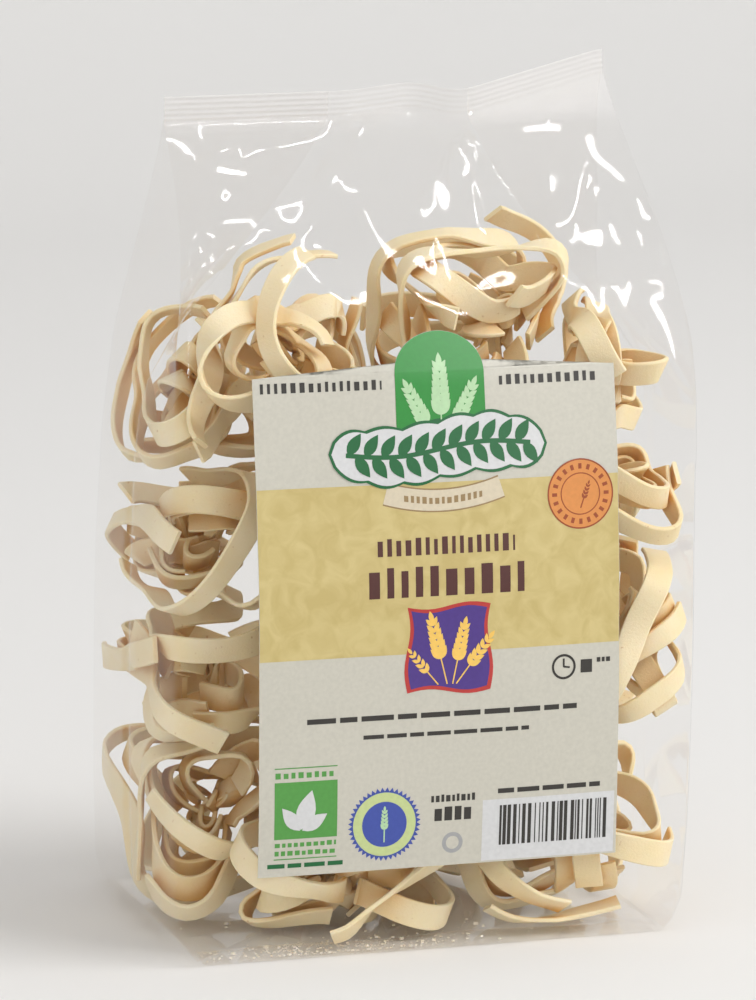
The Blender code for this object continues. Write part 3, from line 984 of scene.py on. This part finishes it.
def make_label():
    """The label's paper and all of its print, from the lowest level up."""
    draw = np.random.default_rng(77)
    ink = {name: plain_print("ink " + name, colour) for name, colour in INKS.items()}
    make_label_paper(ink["cream"])
    straw = mottled_print("ink straw", STRAW_DARK, STRAW_LIGHT, (0.35, 0.65), 150.0, 6.0, 1.2)
    print_shapes("label_band", [box(-49.9, 58.0, 49.9, 103.0)], 1, straw)

    # The arch, with a plain hill and ears of grain on it.
    arch = [(TAB_CENTRE - TAB_HALF_WIDTH, 106.0), (TAB_CENTRE + TAB_HALF_WIDTH, 106.0)]
    squash = TAB_HEIGHT / TAB_HALF_WIDTH
    arch += circle(TAB_CENTRE, LABEL_HEIGHT, TAB_HALF_WIDTH - 0.05, 25, squash, 0.0, 180.0)
    print_shapes("label_arch", [arch], 2, ink["leaf_green"])
    hill = [(TAB_CENTRE - 12.0, 106.0), (TAB_CENTRE + 12.0, 106.0)]
    hill += [(TAB_CENTRE + x, 117.0 + 2.6 * math.cos(x / 5.0)) for x in np.linspace(12.0, -12.0, 15)]
    print_shapes("label_arch_hill", [hill], 3, ink["deep_green"])
    ears = grain_ear(TAB_CENTRE, 112.0, 24.0, 0.0, 7)
    for side in (-1.0, 1.0):
        ears += grain_ear(TAB_CENTRE + side, 112.0, 20.0, -27.0 * side, 6)
    print_shapes("label_arch_ears", ears, 4, ink["pale_leaf"], 0.02)

    # A garland across the arch's foot: a green edged white cloud, with a leafy stem on it.
    print_shapes("label_garland_edge", [cloud(30.2, 8.3)], 5, ink["deep_green"])
    print_shapes("label_garland_cloud", [cloud(29.4, 7.5)], 6, ink["white"])
    stem = [(x, garland_line(x)) for x in np.linspace(-25.5, 25.5, 40)]
    leaves = [strip(stem, 1.2)]
    for x in np.linspace(-25.0, 21.5, 11):
        leaves.append(leaf(x, garland_line(x), 6.8, 3.3, 56.0))
        leaves.append(leaf(x + 2.1, garland_line(x + 2.1), 6.8, 3.3, -56.0))
    print_shapes("label_garland_leaves", leaves, 7, ink["deep_green"], 0.04)

    # A small ribbon under it.
    def sagging(x):
        return 98.3 + 0.010 * x * x

    curve = [(x, sagging(x)) for x in np.linspace(-15.0, 17.0, 20)]
    print_shapes("label_ribbon_edge", [strip(curve, 6.2)], 2, ink["tan"])
    print_shapes("label_ribbon", [strip(curve, 5.4)], 3, ink["pale_tan"])
    small = blocks(draw, -10.0, 12.5, -0.9, 0.9, (0.7, 1.3), 0.7)
    small = [[(x, y + sagging(x)) for x, y in shape] for shape in small]
    print_shapes("label_ribbon_marks", small, 4, ink["tan"])

    # Lines of print as rows of blocks and bars.
    heads = blocks(draw, -48.0, -15.0, 127.6, 130.2, (0.8, 1.5), 1.1)
    heads += blocks(draw, 17.5, 45.5, 127.4, 130.0, (0.8, 1.5), 1.1)
    print_shapes("label_head_marks", heads, 1, ink["black"])
    title = blocks(draw, -17.5, 20.5, 84.2, 88.8, (0.9, 1.7), 1.2)
    title += blocks(draw, -20.0, 23.0, 73.2, 81.2, (1.8, 3.2), 2.0)
    print_shapes("label_title_marks", title, 2, ink["maroon"])
    lines = text_bars(draw, -37.0, 38.0, 40.7, 42.1)
    lines += text_bars(draw, -21.5, 24.5, 35.8, 36.9, (3.0, 7.0), 0.9)
    lines += text_bars(draw, 16.0, 45.0, 18.9, 20.2, (3.0, 7.0), 0.9)
    print_shapes("label_line_marks", lines, 1, ink["black"])

    # The picture of ears on a wavy purple square.
    def wavy(half, swing):
        centre_x, centre_y = 2.0, 59.0
        points = []
        corners = [(-half, -half), (half, -half), (half, half), (-half, half)]
        for (ax, ay), (bx, by) in zip(corners, corners[1:] + corners[:1]):
            for t in np.linspace(0.0, 1.0, 12, endpoint=False):
                x, y = ax + (bx - ax) * t, ay + (by - ay) * t
                wave = swing * math.sin(2.0 * math.pi * t)
                points.append((centre_x + x + wave * (ay != by), centre_y + y + wave * (ax != bx)))
        return points

    print_shapes("label_picture_edge", [wavy(11.5, 0.8)], 2, ink["red"])
    print_shapes("label_picture", [wavy(10.5, 0.8)], 3, ink["purple"])
    ears = []
    for x, height, angle, pairs in ((1.5, 20.0, 14.0, 6), (3.0, 18.0, -12.0, 6), (4.0, 17.0, -38.0, 5),
                                    (-1.0, 13.0, 40.0, 4)):
        ears += grain_ear(x, 49.5, height, angle, pairs)
    print_shapes("label_picture_ears", ears, 4, ink["gold"], 0.04)

    # A clock.
    clock = (34.2, 52.1)
    print_shapes("label_clock", ring_quads(*clock, 3.4, 2.75, 36), 2, ink["black"])
    hands = [box(33.95, 52.0, 34.45, 54.3), turned(box(34.2, 51.85, 35.9, 52.35), -8.0, clock)]
    print_shapes("label_clock_hands", hands, 2, ink["black"])
    minutes = blocks(draw, 39.0, 42.4, 50.2, 54.2, (3.2, 3.3), 1.0)
    minutes += blocks(draw, 43.6, 47.4, 52.8, 54.2, (0.8, 1.2), 0.4)
    print_shapes("label_clock_marks", minutes, 2, ink["black"])

    # A green square with three leaves, between ruled lines.
    print_shapes("label_square", [box(-45.8, 10.2, -28.6, 25.6)], 1, ink["grass_green"])
    sprig = [leaf(-38.6, 12.6, 11.0, 5.2, 74.0)]
    sprig += [leaf(x, 12.4, 8.0, 3.8, angle) for x, angle in ((-38.2, 32.0), (-38.8, 128.0))]
    print_shapes("label_square_leaves", sprig, 2, ink["white"], 0.1)
    rules = [box(-45.8, 29.2, -28.6, 29.5), box(-45.8, 4.6, -28.6, 4.9)]
    for low, high, gap in ((26.6, 28.2, 0.8), (8.0, 9.3, 0.6), (5.7, 7.0, 0.6)):
        rules += blocks(draw, -45.6, -28.8, low, high, (0.9, 1.5), gap)
    print_shapes("label_square_marks", rules, 1, ink["grass_green"])
    foot = text_bars(draw, -47.5, -26.8, 2.3, 3.5, (3.0, 6.0), 0.8)
    print_shapes("label_foot_marks", foot, 1, ink["deep_green"])

    # A toothed round badge with an ear of grain.
    badge = (-15.5, 12.5)
    tooth_count = 44
    teeth = []
    for step in range(tooth_count):
        a, b = (2.0 * math.pi * (step + k) / tooth_count for k in (0, 1))
        teeth.append([(badge[0] + radius * math.cos(angle), badge[1] + radius * math.sin(angle))
                      for radius, angle in ((9.0, a), (10.1, 0.5 * (a + b)), (9.0, b))])
    print_shapes("label_badge_teeth", teeth + ring_quads(*badge, 9.05, 8.7), 1, ink["blue"])
    print_shapes("label_badge_ring", ring_quads(*badge, 8.7, 6.2), 1, ink["pale_green"])
    print_shapes("label_badge", [circle(*badge, 6.2)], 1, ink["blue"])
    print_shapes("label_badge_ear", grain_ear(badge[0], 7.6, 9.8, 0.0, 5), 2, ink["pale_leaf"], 0.05)

    # Weight marks, a grey ring, and bars.
    weight = blocks(draw, -2.6, 9.6, 17.6, 19.6, (0.7, 1.3), 0.5)
    weight += blocks(draw, -1.6, 8.6, 12.4, 16.2, (1.9, 2.5), 0.7)
    print_shapes("label_weight_marks", weight, 1, ink["black"])
    print_shapes("label_grey_ring", ring_quads(3.6, 6.2, 2.9, 1.8, 30), 1, ink["grey"])
    print_shapes("label_bar_field", [box(11.8, 0.5, 49.2, 17.3)], 1, ink["white"])
    thinnest_bar = 0.32
    bars = []
    x = 16.6
    while x < 46.4:
        width = thinnest_bar * draw.integers(1, 4)
        bars.append(box(x, 4.6, x + width, 15.6))
        x += width + thinnest_bar * draw.integers(1, 4)
    print_shapes("label_bars", bars, 2, ink["black"])

    # A round orange stamp.
    middle = (39.2, 98.0)
    print_shapes("label_stamp", [circle(*middle, 9.2, 48)], 2, ink["orange"])
    rings = ring_quads(*middle, 9.3, 8.9) + ring_quads(*middle, 5.6, 5.3)
    print_shapes("label_stamp_rings", rings, 3, ink["rust"])
    mark_count = 20
    dots = [turned(box(38.75, 104.6, 39.65, 106.0), 360.0 * step / mark_count, middle)
            for step in range(mark_count)]
    print_shapes("label_stamp_ear", grain_ear(39.2, 94.2, 7.6, -20.0, 4), 3, ink["rust"], 0.05)
    print_shapes("label_stamp_marks", dots, 3, ink["rust"])


# ---------------------------------------------------------------------------------------------------------
# Making meshes
# ---------------------------------------------------------------------------------------------------------
def new_piece(name, vertices, faces, material, sharp_angle=35.0):
    """A mesh object from points in mm, smooth but for edges sharper than an angle."""
    mesh = bpy.data.meshes.new(name)
    places = (np.asarray(vertices) + (MIDDLE_SHIFT, 0.0, 0.0)) * MM
    mesh.from_pydata(places.tolist(), [], faces)
    mesh.validate()
    mesh.polygons.foreach_set("use_smooth", [True] * len(mesh.polygons))
    mesh.set_sharp_from_angle(angle=math.radians(sharp_angle))
    mesh.materials.append(material)
    piece = bpy.data.objects.new(name, mesh)
    bpy.context.scene.collection.objects.link(piece)
    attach(piece, "root")
    return piece


def ribbon_section(width, thickness):
    """Corners of a ribbon's cross-section: (across, out) pairs, round the outline."""
    half = width / 2.0
    thick = thickness / 2.0
    cut = RIBBON_CHAMFER
    return (
        (-half + cut, thick), (half - cut, thick), (half, thick - cut), (half, -thick + cut),
        (half - cut, -thick), (-half + cut, -thick), (-half, -thick + cut), (-half, thick - cut),
    )


def sweep_strand(strand, centre, vertices, faces):
    """Adds one ribbon's solid, with square-cut ends, to lists of points and faces."""
    centres, across, normal = strand.placed()
    corners = ribbon_section(strand.width, strand.thickness)
    first = len(vertices)
    count = len(corners)
    for middle, side, out in zip(centres + centre, across, normal):
        vertices.extend(middle + side * a + out * b for a, b in corners)
    stations = len(centres)
    for station in range(stations - 1):
        low = first + station * count
        for corner in range(count):
            following = (corner + 1) % count
            faces.append((low + corner, low + following, low + count + following, low + count + corner))
    faces.append(tuple(first + corner for corner in reversed(range(count))))
    faces.append(tuple(first + (stations - 1) * count + corner for corner in range(count)))


def make_nests(material):
    """Each nest as one piece, with all its ribbons."""
    for index, (name, centre, _, _, _) in enumerate(NESTS):
        vertices, faces = [], []
        for strand in wind_nest(index):
            sweep_strand(strand, np.array(centre), vertices, faces)
        nest = new_piece(name, vertices, faces, material)


PASTA_PALE = (0.875, 0.75, 0.515)
PASTA_WARM = (0.85, 0.70, 0.425)
# Orange brown of the painted shade in the hollows between strands.
PASTA_PAINTED_SHADE = (0.70, 0.36, 0.045)
PASTA_FLOUR = (0.95, 0.87, 0.70)
PASTA_BRAN = (0.62, 0.40, 0.20)
CRUMB_WARM = (0.86, 0.77, 0.60)
CRUMB_PALE = (0.95, 0.90, 0.80)
CRUMB_COUNT = 620


def dough_material(name, warm, pale, flour):
    """Matte dried dough: warm cream with paler clouds, specks of flour and bran, orange brown painted shade in
    the hollows between strands, and some subsurface scattering.
    """
    material, shader = new_material(name)
    clouds = add_ramp(material, add_noise(material, 70.0, 4.0), (0.36, 0.66), warm, pale)
    specks = add_ramp(material, add_noise(material, 2600.0, 3.0, 0.6), (0.60, 0.78), high_colour=[flour] * 3)
    dusted = add_mix(material, specks, clouds, (*PASTA_FLOUR, 1.0))
    bran = add_ramp(material, add_noise(material, 900.0, 1.0), (0.20, 0.27), low_colour=PASTA_BRAN)
    flecked = add_mix(material, 0.55, dusted, bran, "MULTIPLY")
    # Painted shade: deep between the strands, where ambient occlusion finds the dough closed in, the base
    # colour turns a warm orange brown. It stands in for light that is lost and bounced in those hollows.
    hollow = add_node(material, "AmbientOcclusion", {"Distance": 0.010}, samples=2, only_local=True)
    depth = add_node(material, "MapRange", {"Value": hollow.outputs["AO"], "From Min": 0.82,
                                            "From Max": 0.22})
    shade_painted_base = add_mix(material, depth.outputs["Result"], flecked, (*PASTA_PAINTED_SHADE, 1.0))
    grain = add_noise(material, 1500.0, 4.0, 0.65)
    bump = add_node(material, "Bump", {"Strength": 0.35, "Distance": 0.0004, "Height": grain})
    set_inputs(material, shader, {
        "Base Color": shade_painted_base,
        "Normal": bump.outputs["Normal"],
        "Roughness": 0.62,
        "Specular IOR Level": 0.28,
        "Subsurface Weight": 0.2,
        "Subsurface Radius": (1.0, 0.55, 0.22),
        "Subsurface Scale": 0.003,
    })
    return material


def make_crumbs(material):
    """Broken chips and flour on the bag's floor, thickest under the front left nest."""
    draw = np.random.default_rng(5)
    vertices, faces = [], []
    for _ in range(CRUMB_COUNT):
        if draw.uniform() < 0.7:
            x, y = draw.normal(-26.0, 17.0), draw.normal(-37.0, 4.0)
        else:
            x, y = draw.uniform(-62.0, 62.0), draw.uniform(-40.0, 38.0)
        x = float(np.clip(x, -62.0, 62.0))
        y = float(np.clip(y, -41.5, 38.0))
        size = min(0.12 + draw.exponential(0.13), 1.1)
        sides = draw.integers(3, 6)
        turn = draw.uniform(0.0, TURN)
        squash = draw.uniform(0.5, 1.0)
        height = size * draw.uniform(0.5, 1.1)
        first = len(vertices)
        for level, share in ((0.0, 1.0), (height, draw.uniform(0.6, 0.95))):
            for side in range(sides):
                angle = turn + 2.0 * math.pi * side / sides + draw.uniform(-0.25, 0.25)
                vertices.append((x + size * share * math.cos(angle),
                                 y + size * share * squash * math.sin(angle), 0.55 + level))
        for side in range(sides):
            after = (side + 1) % sides
            faces.append((first + side, first + after, first + sides + after, first + sides + side))
        faces.append(tuple(first + sides + side for side in range(sides)))
        faces.append(tuple(first + side for side in reversed(range(sides))))
    crumbs = new_piece("crumbs", vertices, faces, material, 20.0)


# The bag's foot is folded like a parcel: two flaps from the sides lie under the front and back ones, and
# their edges show as lines through the film.
FOOT_FLAP_REACH = 34.0
FOOT_OVERLAP = 9.0


def make_foot_folds(material):
    """The doubled film of the bag's foot: side flaps with slanted edges, and the turned-up front edge."""
    vertices, faces = [], []

    def sheet(rows):
        """A patch through rows of points, each row of the same count."""
        first = len(vertices)
        width = len(rows[0])
        for row in rows:
            vertices.extend(row)
        for row in range(len(rows) - 1):
            for column in range(width - 1):
                low = first + row * width + column
                faces.append((low, low + 1, low + width + 1, low + width))

    parts = np.linspace(0.0, 1.0, 13)
    for side in (-1.0, 1.0):
        rows = []
        for inward in parts:
            reach = FOOT_FLAP_REACH * inward
            half = 41.0 - 30.0 * inward
            height = 0.9 + 0.5 * math.sin(math.pi * inward)
            rows.append([(side * (64.5 - reach), half * share, height + 0.25 * math.sin(7.0 * share + side))
                         for share in np.linspace(-1.0, 1.0, 13)])
        sheet(rows)
    rows = []
    for rise in parts:
        rows.append([(x, -43.2 + FOOT_OVERLAP * rise, 0.7 + 1.3 * math.sin(math.pi * rise * 0.8)
                      + 0.35 * math.sin(x / 9.0) * rise) for x in np.linspace(-64.0, 64.0, 41)])
    sheet(rows)
    folds_piece = new_piece("foot_folds", vertices, faces, material, 60.0)


# ---------------------------------------------------------------------------------------------------------
# Camera, floor and lights, in metres, degrees and watts
# ---------------------------------------------------------------------------------------------------------
CAMERA_TARGET = (-0.004, 0.0, 0.1136)
CAMERA_AZIMUTH = -18.03
CAMERA_ELEVATION = 11.87
CAMERA_ROLL = 0.83
CAMERA_DISTANCE = 1.574
CAMERA_LENS = 210.3

FLOOR_REACH = 3.0
BEND_STARTS = 1.1
BEND_RADIUS = 0.6
WORLD_STRENGTH = 0.69
LAMP_TARGET = (0.0, 0.0, 0.12)
SOFT_POWER = 20.5
FILL_POWER = 5.5
STRIP_RADIANCE = 110.0

# A ray may pass this many see-through surfaces, so that no fold of the film goes black.
FILM_LAYERS = 24


def make_camera():
    """A long lens that looks down a little at the bag's front, from its left."""
    data = bpy.data.cameras.new("camera")
    camera = bpy.data.objects.new("camera", data)
    bpy.context.scene.collection.objects.link(camera)
    azimuth = math.radians(CAMERA_AZIMUTH)
    elevation = math.radians(CAMERA_ELEVATION)
    back = Vector((math.sin(azimuth) * math.cos(elevation), -math.cos(azimuth) * math.cos(elevation),
                   math.sin(elevation)))
    camera.location = Vector(CAMERA_TARGET) + back * CAMERA_DISTANCE
    facing = back.to_track_quat("Z", "Y").to_matrix().to_4x4()
    camera.matrix_world = (Matrix.Translation(camera.location) @ facing
                           @ Matrix.Rotation(math.radians(CAMERA_ROLL), 4, "Z"))
    data.lens = CAMERA_LENS
    data.clip_start = 0.05
    data.clip_end = 30.0
    bpy.context.scene.camera = camera


def area_light(name, place, size, power):
    """A rectangular lamp that faces the bag's middle."""
    data = bpy.data.lights.new(name, "AREA")
    data.shape = "RECTANGLE"
    data.size, data.size_y = size
    data.energy = power
    lamp = bpy.data.objects.new(name, data)
    bpy.context.scene.collection.objects.link(lamp)
    lamp.location = place
    lamp.rotation_euler = (Vector(place) - Vector(LAMP_TARGET)).to_track_quat("Z", "Y").to_euler()
    return lamp


def make_stage():
    """A pale floor that curves up into a backdrop."""
    profile = [(-FLOOR_REACH, 0.0), (BEND_STARTS, 0.0)]
    profile += [(BEND_STARTS + BEND_RADIUS * math.sin(angle), BEND_RADIUS - BEND_RADIUS * math.cos(angle))
                for angle in np.linspace(0.1, math.pi / 2, 12)]
    profile += [(BEND_STARTS + BEND_RADIUS, FLOOR_REACH)]
    vertices = [(x, y, z) for x in (-FLOOR_REACH, FLOOR_REACH) for y, z in profile]
    count = len(profile)
    faces = [(k, k + 1, count + k + 1, count + k) for k in range(count - 1)]
    mesh = bpy.data.meshes.new("floor")
    mesh.from_pydata(vertices, [], faces)
    mesh.polygons.foreach_set("use_smooth", [True] * len(mesh.polygons))
    floor = bpy.data.objects.new("floor", mesh)
    bpy.context.scene.collection.objects.link(floor)
    material, shader = new_material("floor paper")
    set_inputs(material, shader, {"Base Color": (0.80, 0.79, 0.775, 1.0), "Roughness": 0.7,
                                  "Specular IOR Level": 0.2})
    mesh.materials.append(material)


def make_world():
    """Even white light from all around, and colours shown as they are."""
    world = bpy.data.worlds.new("studio")
    world.use_nodes = True
    background = world.node_tree.nodes["Background"]
    background.inputs["Color"].default_value = (1.0, 1.0, 1.0, 1.0)
    background.inputs["Strength"].default_value = WORLD_STRENGTH
    bpy.context.scene.world = world
    bpy.context.scene.view_settings.view_transform = "Standard"


def strip_light(name, place, size, radiance):
    """A lamp that only shows as a reflection, as bright as given whatever its size."""
    lamp = area_light(name, place, size, radiance * math.pi * size[0] * size[1])
    lamp.visible_diffuse = False


def make_lights():
    """A broad soft light from the right, a weak one from the front, and strips for glints on the film."""
    soft = area_light("soft light", (1.25, -0.75, 1.30), (0.95, 0.95), SOFT_POWER)
    soft.visible_glossy = False
    fill = area_light("fill light", (-0.75, -1.7, 0.75), (1.1, 1.1), FILL_POWER)
    fill.visible_glossy = False
    strip_light("right strip", (0.95, -1.25, 1.05), (0.10, 0.80), STRIP_RADIANCE)
    strip_light("top strip", (0.25, -1.05, 1.95), (0.80, 0.10), STRIP_RADIANCE)
    strip_light("left strip", (-1.25, -0.85, 0.95), (0.08, 0.60), STRIP_RADIANCE * 0.7)


make_camera()
make_stage()
make_world()
make_lights()
make_film(film_material())
make_label()
make_nests(dough_material("dried pasta", PASTA_WARM, PASTA_PALE, 0.5))
make_crumbs(dough_material("dough crumbs", CRUMB_WARM, CRUMB_PALE, 0.9))
make_foot_folds(film_material())
bpy.context.scene.cycles.transparent_max_bounces = FILM_LAYERS
